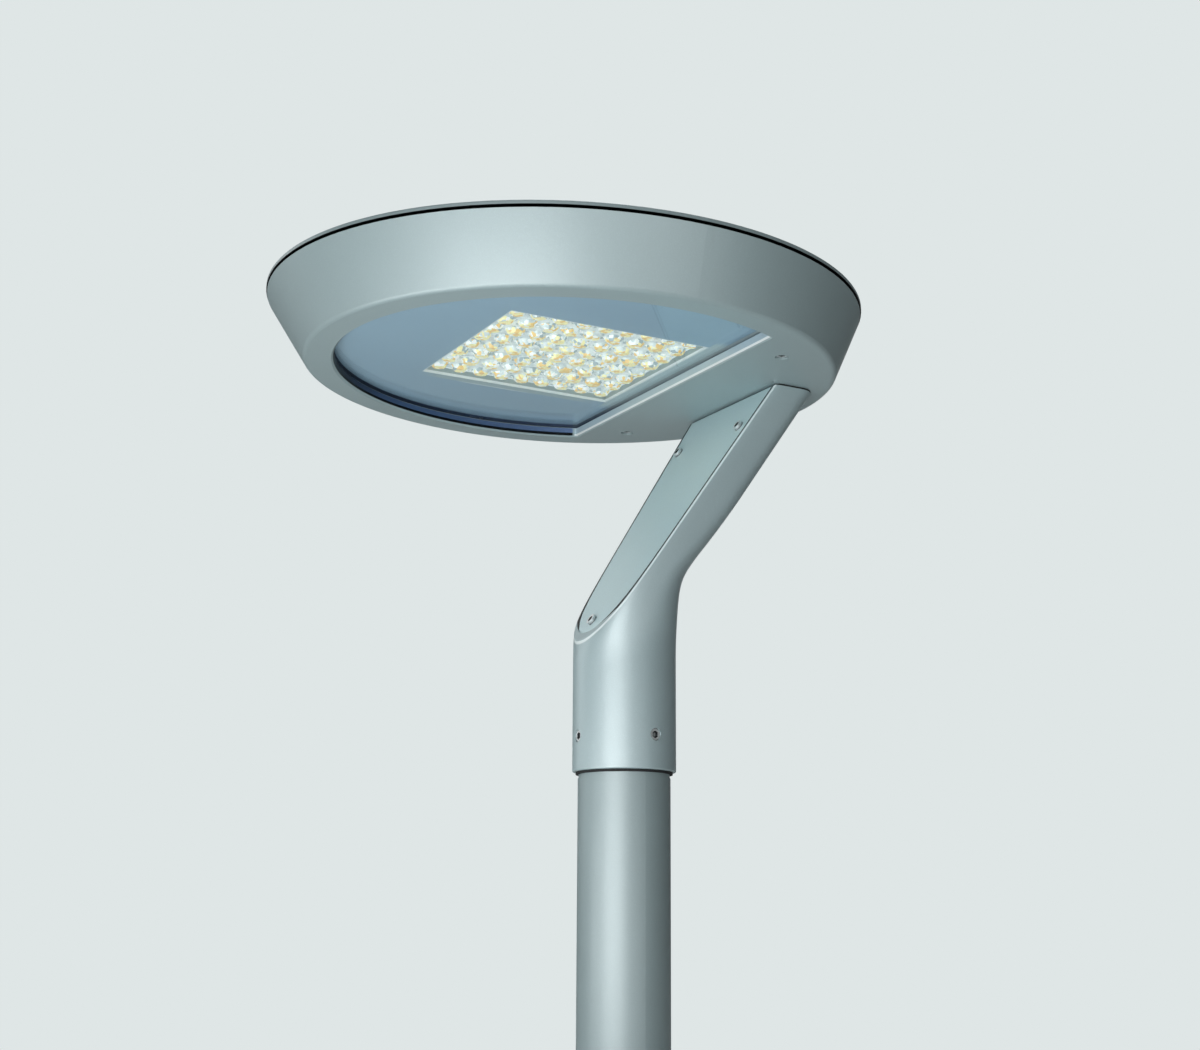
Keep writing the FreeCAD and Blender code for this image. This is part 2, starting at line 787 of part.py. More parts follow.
def make_led_board(index):
    """One circuit board, longer than the window so that its ends lie behind the plate."""
    half_x = window_length / 2.0 + board_overhang
    half_y = (board_pitch - board_gap) / 2.0
    y = board_centre(index)
    return placed(block(-half_x, half_x, y - half_y, y + half_y, board_low, tray_low), head_place)


def make_led_packages():
    """Square light sources on all the boards."""
    half = led_size / 2.0
    chips = []
    for index in range(board_count):
        for x, y in light_places(index):
            chips.append(block(x - half, x + half, y - half, y + half, lens_high, board_low))
    return placed(Part.makeCompound(chips), head_place)


def make_lens_plate(index):
    """One clear moulding: a plate on a rim that stands on the board, and a lens under each source."""
    half_x = window_length / 2.0 - lens_inset
    half_y = (board_pitch - lens_inset) / 2.0
    if index in (0, board_count - 1):
        half_y = half_y - lens_inset / 2.0
    y = board_centre(index)
    plate = block(-half_x, half_x, y - half_y, y + half_y, lens_low, board_low)
    in_x = half_x - lens_rim_width
    in_y = half_y - lens_rim_width
    plate = plate.cut(block(-in_x, in_x, y - in_y, y + in_y, lens_high, board_low))
    lenses = []
    for x, place_y in light_places(index):
        lenses.append(polygon_frustum(
            lens_sides, lens_top_radius, lens_low - lens_height, lens_base_radius, lens_low, x, place_y))
    return placed(plate.multiFuse(lenses), head_place)


def make_led_tray():
    """Round sheet on the housing's pillars, cut off before the arm's bolts."""
    sheet = d_shape(pillar_circle + tray_margin, tray_back, tray_low, tray_high)
    for x, y in column_places():
        sheet = sheet.cut(disc(column_radius + column_clearance, tray_low, tray_high, x, y))
    for angle in pillar_angles:
        x, y = polar(pillar_circle, angle)
        sheet = sheet.cut(disc(tray_screw_radius + shank_gap, tray_low, tray_high, x, y))
    return placed(sheet, head_place)


def make_tray_screws():
    """Cap screws through the tray into the pillars."""
    length = tray_screw_length - tray_screw_radius + tray_thickness
    body = screw(tray_screw_radius, length, tray_screw_head, tray_screw_head_height)
    screws = []
    for angle in pillar_angles:
        x, y = polar(pillar_circle, angle)
        screws.append(placed(placed(body, Placement(Vector(x, y, tray_high), Rotation())), head_place))
    return Part.makeCompound(screws)


def make_heat_sink():
    """Finned block: one comb profile drawn across the fins and extruded along them."""
    pitch = (sink_depth - fin_thickness) / (fin_count - 1)
    low = tray_high
    top = low + sink_height
    start = window_centre - sink_depth / 2.0
    points = [(start + sink_depth, low), (start, low)]
    for i in range(fin_count - 1):
        y = start + i * pitch
        root = low + sink_base
        points += [(y, top), (y + fin_thickness, top), (y + fin_thickness, root), (y + pitch, root)]
    points += [(start + sink_depth - fin_thickness, top), (start + sink_depth, top)]
    corners = [Vector(-sink_length / 2.0, y, h) for y, h in points]
    comb = Part.Face(Part.makePolygon(corners + corners[:1]))
    return placed(comb.extrude(Vector(sink_length, 0, 0)), head_place)


def make_lid_gasket():
    """Flat ring on the housing's rim that carries the lid and leaves a dark gap."""
    outer = rim_radius - lid_gasket_inset
    ring = disc(outer, housing_height, lid_low).cut(disc(outer - lid_gasket_width, housing_height, lid_low))
    return placed(placed(ring, rim_place), head_place)


def lid_form(radius, low, high):
    """A round slab with a shallow domed top, turned about Z: the dome rises by the lid's rise."""
    middle = radius / 2.0
    rise = lid_rise * (1.0 - (middle / radius) ** 2)
    crown = Part.Arc(Vector(0, 0, high + lid_rise), Vector(middle, 0, high + rise), Vector(radius, 0, high))
    corners = [Vector(radius, 0, high), Vector(radius, 0, low), Vector(0, 0, low), Vector(0, 0, high + lid_rise)]
    return revolve([crown.toShape()] + [Part.makeLine(a, b) for a, b in zip(corners, corners[1:])])


def make_lid():
    """Lid with two screw bosses behind and two hooks in front that catch under the housing's rim."""
    under = housing_height - rim_thickness - hook_clearance
    wall = rim_radius - rim_width - hook_clearance
    hook = Part.Face(Part.Wire(outline([
        (wall - hook_wall, under - hook_foot), (wall + hook_reach, under - hook_foot), (wall + hook_reach, under),
        (wall, under), (wall, lid_high - hook_clearance), (wall - hook_wall, lid_high - hook_clearance)])))
    form = lid_form(lid_radius, lid_low, lid_high)
    edge = [e for e in form.Edges
            if e.BoundBox.XMax > lid_radius - thread_gap and e.BoundBox.ZMin > lid_high - thread_gap]
    form = placed(form.makeFillet(lid_edge_round, edge), rim_place)
    hollow = lid_form(rim_radius - rim_width, lid_low, lid_high - lid_wall)
    pieces = [form.cut(placed(hollow, rim_place))]
    for angle in (-hook_angle, hook_angle):
        start = Placement(Vector(0, 0, 0), Rotation(Vector(0, 0, 1), angle - 90.0 - hook_sweep / 2.0))
        turned = hook.revolve(Vector(0, 0, 0), Vector(0, 0, 1), hook_sweep)
        pieces.append(placed(placed(turned, start), rim_place))
    for x, y in column_places():
        boss = disc(column_radius, column_top + column_gap, lid_high + lid_rise, x, y)
        above = placed(disc(reach, lid_low, lid_high + 2.0 * lid_rise), rim_place).cut(form)
        pieces.append(boss.cut(above))
    body = fuse(pieces)
    for x, y in column_places():
        low = column_top + column_gap
        body = body.cut(disc(lid_screw_radius + thread_gap, low, low + lid_screw_grip, x, y))
    return placed(body, head_place)


def make_lid_screws():
    """Long cap screws, put in from below through the housing's columns into the lid."""
    top = lid_screw_sunk + lid_screw_head_height
    length = column_top + column_gap + lid_screw_grip - top - column_gap
    body = screw(lid_screw_radius, length, lid_screw_head, lid_screw_head_height)
    turned = Rotation(Vector(1, 0, 0), 180.0)
    places = [Placement(Vector(x, y, top), turned) for x, y in column_places()]
    return Part.makeCompound([placed(placed(body, p), head_place) for p in places])


names = ("front", "middle", "rear")
nodes = {
    "pole": make_pole(),
    "sleeve_seal": make_sleeve_seal(),
    "arm_casting": make_arm_casting(),
    "arm_cover": make_arm_cover(),
    "cover_gasket": make_cover_gasket(),
    "cover_screws": make_cover_screws(),
    "grub_screws": make_grub_screws(),
    "gear_tray": make_gear_tray(),
    "gear_tray_screws": make_gear_tray_screws(),
    "driver": make_driver(),
    "terminal_block": make_terminal_block(),
    "head_gasket": make_head_gasket(),
    "head_bolts": make_head_bolts(),
    "head_washers": make_head_washers(),
    "cable_gland": make_cable_gland(),
    "housing": make_housing(),
    "glass_gasket": make_glass_gasket(),
    "glass": make_glass(),
    "glass_clips": make_glass_clips(),
    "reflector_plate": make_reflector_plate(),
    "led_packages": make_led_packages(),
    "led_tray": make_led_tray(),
    "tray_screws": make_tray_screws(),
    "heat_sink": make_heat_sink(),
    "lid_gasket": make_lid_gasket(),
    "lid": make_lid(),
    "lid_screws": make_lid_screws(),
}
for number in range(board_count):
    nodes["led_board_" + names[number]] = make_led_board(number)
    nodes["lens_plate_" + names[number]] = make_lens_plate(number)

os.makedirs("parts", exist_ok=True)
for name, shape in nodes.items():
    shape.exportStep("parts/" + name + ".step")
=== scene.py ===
import math

import bpy
import numpy as np
from mathutils import Matrix, Vector


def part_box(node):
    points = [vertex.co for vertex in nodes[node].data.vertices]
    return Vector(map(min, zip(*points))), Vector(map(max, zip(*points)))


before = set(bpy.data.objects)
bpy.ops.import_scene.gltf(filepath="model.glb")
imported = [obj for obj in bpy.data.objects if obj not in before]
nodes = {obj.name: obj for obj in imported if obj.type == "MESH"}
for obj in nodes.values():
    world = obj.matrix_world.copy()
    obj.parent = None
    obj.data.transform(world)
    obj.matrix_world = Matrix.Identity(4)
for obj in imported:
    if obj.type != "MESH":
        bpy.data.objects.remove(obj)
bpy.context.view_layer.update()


# Pole: a round steel tube, powder coated in the light's own silver grey. It stands in the
# ground or on a base, and its top ends inside the sleeve, where the grub screws grip it.

class Wire:
    """A node socket that takes part in sums: an operator between wires or numbers adds a Math node."""

    def __init__(self, tree, socket=None):
        self.tree = tree
        self.socket = socket

    def node(self, kind, settings=(), inputs=(), output=0):
        """One node of any kind: its settings first, then the values or links of its sockets."""
        made = self.tree.nodes.new(kind)
        for key, value in dict(settings).items():
            setattr(made, key, value)
        for key, value in dict(inputs).items():
            if isinstance(value, Wire):
                self.tree.links.new(value.socket, made.inputs[key])
            else:
                made.inputs[key].default_value = value
        return Wire(self.tree, made.outputs[output])

    def math(self, operation, first, second=0.0):
        """One Math node."""
        return self.node("ShaderNodeMath", {"operation": operation}, {0: first, 1: second})

    def __add__(self, other):
        return self.math("ADD", self, other)

    def __sub__(self, other):
        return self.math("SUBTRACT", self, other)

    def __rsub__(self, other):
        return self.math("SUBTRACT", other, self)

    def __mul__(self, other):
        return self.math("MULTIPLY", self, other)

    def __truediv__(self, other):
        return self.math("DIVIDE", self, other)

    def __pow__(self, other):
        return self.math("POWER", self, other)

    __radd__ = __add__
    __rmul__ = __mul__

    def axes(self):
        """The three numbers of this vector."""
        parts = self.node("ShaderNodeSeparateXYZ", {}, {0: self}).socket.node.outputs
        return [Wire(self.tree, part) for part in parts]

    def fraction(self):
        """What is left of a number above the whole number below it."""
        return self.math("FRACT", self)

    def size(self):
        """A number without its sign."""
        return self.math("ABSOLUTE", self)

    def most(self, other):
        """The greater of two numbers."""
        return self.math("MAXIMUM", self, other)

    def step(self, low, high):
        """A smooth rise from 0 to 1 between two values."""
        return self.node("ShaderNodeMapRange", {"interpolation_type": "SMOOTHSTEP"},
                         {"Value": self, "From Min": low, "From Max": high})

    def below(self, low, high):
        """A smooth fall from 1 to 0 between two values."""
        return 1.0 - self.step(low, high)

    def band(self, rise, fall):
        """A rise and a fall, each between its own pair of values."""
        return self.step(*rise) * self.below(*fall)

    def noise(self, scale, detail=2.0):
        """Cloudy noise about 0.5 on this vector, the scale in cells per metre."""
        return self.node("ShaderNodeTexNoise", {}, {"Vector": self, "Scale": scale, "Detail": detail})

    def blend(self, first, second):
        """A colour between two, by this value."""
        return self.node("ShaderNodeMix", {"data_type": "RGBA"}, {"Factor": self, 6: first, 7: second}, 2)

    def bump(self, distance, strength):
        """The normal of a surface raised by this height."""
        return self.node("ShaderNodeBump", {}, {"Height": self, "Distance": distance, "Strength": strength})


def finish(name, links, **values):
    """A material on one Principled shader. Values are set on its sockets; links is a function that takes
    the place on the piece and gives the wires for the sockets that vary."""
    material = bpy.data.materials.new(name)
    material.use_nodes = True
    tree = material.node_tree
    shader = tree.nodes["Principled BSDF"]
    for key, value in values.items():
        shader.inputs[key.replace("_", " ")].default_value = value
    place = Wire(tree).node("ShaderNodeTexCoord", output="Object")
    for key, wire in links(place).items():
        tree.links.new(wire.socket, shader.inputs[key])
    return material


def coat(tone, spread=0.10):
    """Silver powder coat: pale flakes in a grey-green binder, an orange-peel skin with dimples of about
    four millimetres and a fine grit over it. The tone varies by the spread to both sides."""
    def links(place):
        cloud = place.noise(scale=9.0)
        flake = place.noise(scale=1900.0, detail=1.0).step(low=0.50, high=0.72)
        grit = place.noise(scale=1300.0)
        peel = place.noise(scale=260.0, detail=1.0)
        shade = [channel * (1.0 - spread) for channel in tone]
        light = [channel * (1.0 + spread) for channel in tone]
        return {"Base Color": (cloud * 0.5 + flake * 0.5).blend((*shade, 1.0), (*light, 1.0)),
                "Roughness": 0.36 + 0.12 * grit,
                "Normal": (grit * 0.45 + peel).bump(distance=0.00012, strength=0.55)}
    return links


def dress(material, *names):
    """Gives CAD nodes their material."""
    for name in names:
        nodes[name].data.materials.clear()
        nodes[name].data.materials.append(material)


dress(finish("pole_powder_coat", coat((0.29, 0.375, 0.39)), Metallic=0.15, IOR=2.0), "pole")


# Sleeve seal: a moulded ring of black rubber on the pole. It closes the sleeve's mouth and
# shows as a dark line above the pole.

def grained(roughness, spread, patches, grain, depth, strength):
    """A plain surface: the roughness grows by the spread times cloudy noise, in patches per metre, and the
    skin is raised by noise in grains per metre, to a depth in metres."""
    def links(place):
        return {"Roughness": roughness + spread * place.noise(patches),
                "Normal": place.noise(grain).bump(depth, strength)}
    return links


black_rubber = finish(
    "black_rubber",
    grained(roughness=0.7, spread=0.2, patches=500.0, grain=1800.0, depth=0.00006, strength=0.5),
    Base_Color=(0.012, 0.013, 0.014, 1.0))
dress(black_rubber, "sleeve_seal")


# Arm: one hollow aluminium casting of sleeve, knee and flaring arm, blasted and powder coated.
# Its sleeve slips over the pole and its open front takes the gear behind a cover. Each pair below
# says where a change of colour begins and ends, in metres.

silver = (0.40, 0.52, 0.545)
# The groove's black is painted shade, and the rim's pale edge a painted highlight.
groove_painted_shade = (0.004, 0.006, 0.007, 1.0)
rim_painted_highlight = (0.82, 0.92, 0.93, 1.0)
cover_face = max((face for face in nodes["arm_cover"].data.polygons if face.normal.y < 0.0),
                 key=lambda face: face.area)
face_level = cover_face.normal.dot(cover_face.center)
groove_rise = (-0.00028, -0.00018)
groove_taper = 0.0008
groove_foot = 0.37
rim_rise = (-0.0016, -0.0011)
rim_fall = (-0.0004, -0.0002)
tip_run = 0.2929
tip_curve = 13.9
tip_top = (0.385, 0.400)
tip_gap = (0.0010, 0.0014)


def casting_coat(place):
    """The silver coat with painted shade in a dark groove along the cover: the strip of the rim that lies
    within about a quarter of a millimetre of the cover's plane, narrower with height. At the tip, where the
    rim is broad, only what lies within 1.2 mm of the cover's round end, a parabola, is dark. Beside the
    groove a painted highlight makes the rim's edge pale."""
    links = coat(silver)(place)
    x, y, z = place.axes()
    level = y * cover_face.normal.y + z * cover_face.normal.z - face_level
    run = y * cover_face.normal.z - z * cover_face.normal.y - tip_run
    outside = (tip_curve * x * x - run) / (1.0 + (2.0 * tip_curve * x) ** 2.0) ** 0.5
    broad = z.below(*tip_top) * outside.step(*tip_gap)
    groove = (level - groove_taper * (z - groove_foot)).step(*groove_rise) * (1.0 - broad)
    rim = level.band(rim_rise, rim_fall)
    # Painted shade in the groove and a painted highlight on the rim's edge; the groove turns metallic so that
    # it shows no gloss.
    links["Base Color"] = groove.blend(rim.blend(links["Base Color"], rim_painted_highlight), groove_painted_shade)
    links["Metallic"] = 0.15 + 0.85 * groove
    return links


dress(finish("casting_powder_coat", casting_coat, IOR=2.4), "arm_casting")


# Gear in the arm: a flat tray of sheet aluminium with the driver and the terminal block on it, screwed
# to four cast pads. It is out of sight once the cover is on.

steel_grain = grained(roughness=0.22, spread=0.2, patches=900.0, grain=2500.0, depth=0.00003, strength=0.5)
mill_sheet = finish(
    "mill_sheet",
    grained(roughness=0.28, spread=0.2, patches=60.0, grain=700.0, depth=0.00005, strength=0.4),
    Base_Color=(0.72, 0.73, 0.74, 1.0), Metallic=1.0)
white_case = finish(
    "driver_case",
    grained(roughness=0.5, spread=0.15, patches=300.0, grain=1500.0, depth=0.00005, strength=0.5),
    Base_Color=(0.75, 0.76, 0.75, 1.0))
plain_steel = finish("plain_steel", steel_grain, Base_Color=(0.50, 0.52, 0.53, 1.0), Metallic=1.0)
dress(mill_sheet, "gear_tray")
dress(white_case, "driver", "terminal_block")
dress(plain_steel, "gear_tray_screws")


# Arm cover: a flat tongue of aluminium let into the arm's front on a rubber seal and held by three
# screws, coated like the casting but paler: the paler tone is painted light on its face.

# A paler tone than the casting's: painted light on the cover's face.
cover_silver_painted_light = (0.62, 0.80, 0.83)
cover_edge = 0.001
# Dark steel for the painted shade in sockets and under screw heads.
socket_painted_shade = (0.02, 0.025, 0.03, 1.0)
screw_bright = (0.80, 0.84, 0.85, 1.0)
socket_reach = 0.005


def cover_coat(place):
    """The silver coat on a plate whose edges are rounded by a millimetre."""
    links = coat(cover_silver_painted_light)(place)
    edge = place.node("ShaderNodeBevel", {"samples": 4}, {"Radius": cover_edge})
    links["Normal"] = place.node(
        "ShaderNodeBump", {},
        {"Height": place.noise(scale=1300.0), "Distance": 0.00008, "Strength": 0.5, "Normal": edge})
    return links


def screw_painted_shade(place):
    """Steel with painted shade: it darkens in the socket and under the head, by how much of the space within
    5 mm is hidden.
    """
    links = steel_grain(place)
    open_sky = place.node("ShaderNodeAmbientOcclusion", {"samples": 8}, {"Distance": socket_reach}, "AO")
    # Painted shade from ambient occlusion in the socket and under the head.
    links["Base Color"] = open_sky.step(low=0.40, high=0.90).blend(socket_painted_shade, screw_bright)
    return links


screw_steel = finish("screw_steel", screw_painted_shade, Metallic=0.7)
dress(black_rubber, "cover_gasket")
dress(finish("cover_powder_coat", cover_coat, Metallic=0.1, IOR=2.2), "arm_cover")
dress(screw_steel, "cover_screws")


# Grub screws: three steel set screws with a hexagon socket. They are sunk in the sleeve's wall and
# press on the pole.

dress(screw_steel, "grub_screws")


# Head joint: a flat rubber seal on the arm's top, four bolts with washers put in from inside the
# arm, and a moulded gland where the lead enters the head.

black_plastic = finish(
    "black_plastic",
    grained(roughness=0.45, spread=0.15, patches=400.0, grain=2000.0, depth=0.00005, strength=0.5),
    Base_Color=(0.02, 0.02, 0.022, 1.0))
dress(black_rubber, "head_gasket")
dress(plain_steel, "head_bolts", "head_washers")
dress(black_plastic, "cable_gland")


# Housing: the head's bowl, a thin die casting with a leaning cone wall, a flat underside with the
# D-shaped opening and the pad over the arm, powder coated.

pane_low, pane_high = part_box("glass")
seat_width = 0.009
opening_radius = (pane_high.x - pane_low.x) / 2.0 - seat_width
opening_middle = pane_low.y + opening_radius + seat_width
opening_chord = pane_high.y - seat_width
wall_past_radius = (0.0004, 0.0009)
arc_to_chord = (-0.004, -0.002)
chord_rise = (-0.002, -0.001)
chord_fall = (0.0022, 0.0026)
line_top = (0.0036, 0.0040)
lip_foot = (0.0008, 0.0012)
lip_top = (0.0024, 0.0028)
front_end = (-0.230, -0.130)
head_silver = (0.34, 0.446, 0.465)
# Painted shade in dark blue and black on the opening's arc, painted light on its straight side and a painted
# highlight in white on the lip.
wall_blue_painted_shade = (0.13, 0.19, 0.33, 1.0)
wall_black_painted_shade = (0.006, 0.008, 0.010, 1.0)
lip_painted_highlight = (0.90, 0.95, 0.95, 1.0)
chord_painted_light = (0.48, 0.60, 0.65, 1.0)
head_middle = Vector((0.0, -0.0525, 0.591))
head_slope = math.tan(math.radians(1.84))


def from_opening(x, y):
    """The distance from the axis of the opening's arc."""
    return (x * x + (y - opening_middle) ** 2.0) ** 0.5


def above_underside(y, z):
    """The height above the head's underside, a plane that leans along y."""
    return z - head_middle.z + head_slope * (y - head_middle.y)


def housing_coat(place):
    """The silver coat with painted light and shade on the opening's wall. The arc of the wall is painted
    shade, dark blue over a black line and black in front: there the distance from the arc's axis is under the
    opening's radius, and the place lies in front of its straight side. The straight side is painted light,
    pale, with a painted highlight in white along its lip."""
    links = coat(head_silver)(place)
    x, y, z = place.axes()
    wall = (from_opening(x, y) - opening_radius).below(*wall_past_radius)
    past_chord = y - opening_chord
    height = above_underside(y, z)
    # Painted shade on the arc's wall.
    arc = wall * past_chord.below(*arc_to_chord)
    chord = wall * past_chord.band(chord_rise, chord_fall)
    # A painted highlight on the lip and painted light on the straight side's face.
    lip = chord * height.band(lip_foot, lip_top)
    face = chord * height.step(*lip_top)
    shade = height.below(*line_top).most(y.below(*front_end))
    silver_with_painted_light = face.blend(lip.blend(links["Base Color"], lip_painted_highlight), chord_painted_light)
    links["Base Color"] = arc.blend(silver_with_painted_light, shade.blend(wall_blue_painted_shade, wall_black_painted_shade))
    # The painted shade turns metallic so that it shows no gloss.
    links["Metallic"] = 0.15 + 0.80 * arc
    return links


dress(finish("housing_powder_coat", housing_coat, IOR=2.2), "housing")


# Pane: flat toughened glass in the shape of a D with a printed border. It lies on a blue grey
# rubber seal, whose pale tone is painted light that lifts the shaded gap beside the pane, and is held from
# inside by steel clips.

border_rise = (0.0002, 0.0006)
silver_print_rise = (-0.15, -0.06)
# The print's dark blue is painted shade, its silver painted light.
print_blue_painted_shade = (0.07, 0.10, 0.16, 1.0)
print_silver_painted_light = (0.52, 0.60, 0.62, 1.0)
mirror_face_on = 0.03
mirror_slanted = 0.4


def pane_finish(name):
    """Clear glass without bending of light: what lies behind shows through a mirror that is weak face on and
    grows with the fifth power of the slant. The border on the seat is printed, and its tones are painted
    light and shade: silver, painted light, on the straight side from about x = -0.1 m on towards +x, and dark
    blue, painted shade, round the arc and along the rest."""
    material = bpy.data.materials.new(name)
    material.use_nodes = True
    tree = material.node_tree
    tree.nodes.remove(tree.nodes["Principled BSDF"])
    start = Wire(tree)
    x, y = start.node("ShaderNodeTexCoord", output="Object").axes()[:2]
    straight = (y - opening_chord).step(*border_rise)
    border = straight.most((from_opening(x, y) - opening_radius).step(*border_rise))
    tone = (straight * x.step(*silver_print_rise)).blend(print_blue_painted_shade, print_silver_painted_light)
    print_coat = start.node("ShaderNodeBsdfPrincipled", {}, {"Base Color": tone, "Roughness": 0.6})
    gloss = start.node("ShaderNodeBsdfGlossy", {}, {"Roughness": 0.03, "Color": (0.9, 0.95, 1.0, 1.0)})
    clear = start.node("ShaderNodeBsdfTransparent", {}, {"Color": (0.94, 0.97, 0.98, 1.0)})
    slant = start.node("ShaderNodeLayerWeight", {}, {"Blend": 0.5}, "Facing")
    mirror = mirror_face_on + mirror_slanted * slant ** 5.0
    behind = start.node("ShaderNodeMixShader", {}, {0: border, 1: clear, 2: print_coat})
    mixed = start.node("ShaderNodeMixShader", {}, {0: mirror, 1: behind, 2: gloss})
    tree.links.new(mixed.socket, tree.nodes["Material Output"].inputs["Surface"])
    return material


# The seal's pale blue grey is painted light over the shaded gap beside the pane.
seal_rubber_painted_light = finish(
    "seal_rubber_painted_light",
    grained(roughness=0.6, spread=0.2, patches=500.0, grain=1800.0, depth=0.00006, strength=0.5),
    Base_Color=(0.30, 0.38, 0.44, 1.0))
dress(seal_rubber_painted_light, "glass_gasket")
dress(pane_finish("clear_pane"), "glass")
dress(plain_steel, "glass_clips")


# Reflector plate: a thin sheet over the whole pane with a square window for the light sources, coated
# blue grey. The window's walls are bent up to the boards and carry painted shade, and its edge shines with a
# painted highlight.

front_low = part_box("lens_plate_front")[0]
middle_low, middle_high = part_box("lens_plate_middle")
rear_low, rear_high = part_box("lens_plate_rear")
plate_inset = 0.001
plate_level = 0.0123
window_wall_foot = (0.0020, 0.0024)
window_edge = (0.0010, 0.0014)
strip_rise = (0.0004, 0.0014)
strip_half = (0.100, 0.115)
side_band = ((0.0008, 0.0012), (0.0100, 0.0110))
side_line = ((0.0100, 0.0106), (0.0118, 0.0124))
band_start = (-0.005, 0.020)
band_end = (-0.030, 0.0)
line_start = (0.030, 0.050)
line_end = (-0.09, -0.06)
plate_blue = ((0.38, 0.53, 0.65, 1.0), (0.47, 0.63, 0.74, 1.0))
# Painted light in the silver strip, painted highlights in white, painted shade in grey on the window's walls.
strip_painted_light = (0.66, 0.76, 0.76, 1.0)
band_grey = (0.56, 0.66, 0.66, 1.0)
edge_painted_highlight = (0.93, 0.96, 0.96, 1.0)
window_wall_painted_shade = (0.36, 0.43, 0.42, 1.0)
plate_grain = grained(roughness=0.42, spread=0.1, patches=200.0, grain=900.0, depth=0.00005, strength=0.4)


def plate_coat(place):
    """Cloudy blue grey, with a painted highlight in white within a millimetre of the window and painted shade
    in grey on the walls above the sheet. A silver strip of painted light lies behind the window, and a grey
    band with a short white line, a painted highlight, beside it on one side."""
    x, y, z = place.axes()
    beside = x.size() - middle_high.x - plate_inset
    far_side = -1.0 * x - middle_high.x - plate_inset
    before = front_low.y - plate_inset - y
    behind = y - rear_high.y - plate_inset
    past_front = y - front_low.y
    past_rear = y - rear_high.y
    strip = behind.step(*strip_rise) * x.size().below(*strip_half)
    band = far_side.band(*side_band) * past_front.step(*band_start) * past_rear.below(*band_end)
    line = far_side.band(*side_line) * past_front.step(*line_start) * past_rear.below(*line_end)
    # Painted highlights in white along the window's edge and in the short line.
    white = line.most(beside.most(before.most(behind)).below(*window_edge))
    # Painted light in the silver strip behind the window.
    colour = strip.blend(place.noise(scale=7.0).blend(*plate_blue), strip_painted_light)
    colour = band.blend(colour, band_grey)
    colour = white.blend(colour, edge_painted_highlight)
    # Painted shade in grey on the window's walls.
    colour = (above_underside(y, z) - plate_level).step(*window_wall_foot).blend(colour, window_wall_painted_shade)
    links = plate_grain(place)
    links["Base Color"] = colour
    return links


dress(finish("plate_coat", plate_coat, Metallic=0.1), "reflector_plate")


# Light sources: three white circuit boards, each with yellow phosphor chips in three rows of eight.
# The tray carries them, and the lens plates hide them.

white_board = finish(
    "white_board",
    grained(roughness=0.35, spread=0.1, patches=300.0, grain=1200.0, depth=0.00003, strength=0.4),
    Base_Color=(0.72, 0.77, 0.77, 1.0))
phosphor = finish(
    "yellow_phosphor",
    grained(roughness=0.4, spread=0.2, patches=2000.0, grain=3000.0, depth=0.00003, strength=0.4),
    Base_Color=(0.85, 0.62, 0.18, 1.0))
dress(white_board, "led_board_front", "led_board_middle", "led_board_rear")
dress(phosphor, "led_packages")


# Lens plates: clear mouldings in front of the boards with one eight-sided lens for each chip. Each lens
# shows its chip enlarged and broken up, so the plates are painted with what is seen in them: painted
# highlights and shade among it, and a faint glow of painted light.

lenses_across = 8
lens_rows = 3
row_pitch = (middle_high.x - middle_low.x + 2.0 * plate_inset) / lenses_across
column_pitch = (rear_low.y + rear_high.y - middle_low.y - middle_high.y) / 2.0 / lens_rows
column_middle = (middle_low.y + middle_high.y) / 2.0
facets = 300.0
raggedness = 0.0050
chip_radius = (0.0060, 0.0064)
glare_radius = (0.0080, 0.0084)
foot_radius = (0.0098, 0.0102)
panel_line = (0.0024, 0.0030)
chip_yellow = (1.0, 0.88, 0.45, 1.0)
chip_orange = (0.92, 0.62, 0.22, 1.0)
# Painted highlights in white on the chips and round them, painted shade in the grey foot.
chip_painted_highlight = (1.0, 1.0, 0.92, 1.0)
glare_painted_highlight = (1.0, 1.0, 0.98, 1.0)
foot_painted_shade = (0.36, 0.44, 0.46, 1.0)
ground_tones = ((0.58, 0.64, 0.63, 1.0), (0.80, 0.84, 0.81, 1.0))
line_white = (0.90, 0.94, 0.94, 1.0)


def lens_paint(place):
    """By the distance from the nearest lens's middle, broken up in facets: a yellow chip with painted white
    highlights, white glare round it as a painted highlight, a grey foot of painted shade, and the pale plate
    between. A white line runs round the panel. The colour also glows, as painted light."""
    x, y = place.axes()[:2]
    across = ((x / row_pitch).fraction() - 0.5) * row_pitch
    along = (((y - column_middle) / column_pitch + 0.5).fraction() - 0.5) * column_pitch
    radius = (across * across + along * along) ** 0.5
    tint, shape, gleam = place.node(
        "ShaderNodeTexVoronoi", {}, {"Vector": place, "Scale": facets}, "Color").axes()
    ragged = radius + raggedness * (shape - 0.5)
    chip = ragged.below(*chip_radius)
    glare = ragged.below(*glare_radius) * gleam.step(low=0.62, high=0.66)
    foot = ragged.below(*foot_radius) * tint.step(low=0.72, high=0.76)
    yellow = tint.step(low=0.55, high=0.60).blend(chip_yellow, chip_orange)
    yellow = gleam.step(low=0.84, high=0.88).blend(yellow, chip_painted_highlight)
    ground = place.noise(scale=120.0).step(low=0.35, high=0.65).blend(*ground_tones)
    colour = glare.blend(foot.blend(ground, foot_painted_shade), glare_painted_highlight)
    colour = chip.blend(colour, yellow)
    inside_sides = middle_high.x - x.size()
    inside_ends = (rear_high.y - y).below(*panel_line) + (y - front_low.y).below(*panel_line)
    colour = inside_sides.below(*panel_line).most(inside_ends).blend(colour, line_white)
    # The colour also glows: painted light.
    return {"Base Color": colour, "Emission Color": colour,
            "Roughness": 0.10 + 0.15 * place.noise(scale=300.0),
            "Normal": place.noise(scale=420.0).bump(distance=0.0012, strength=0.35)}


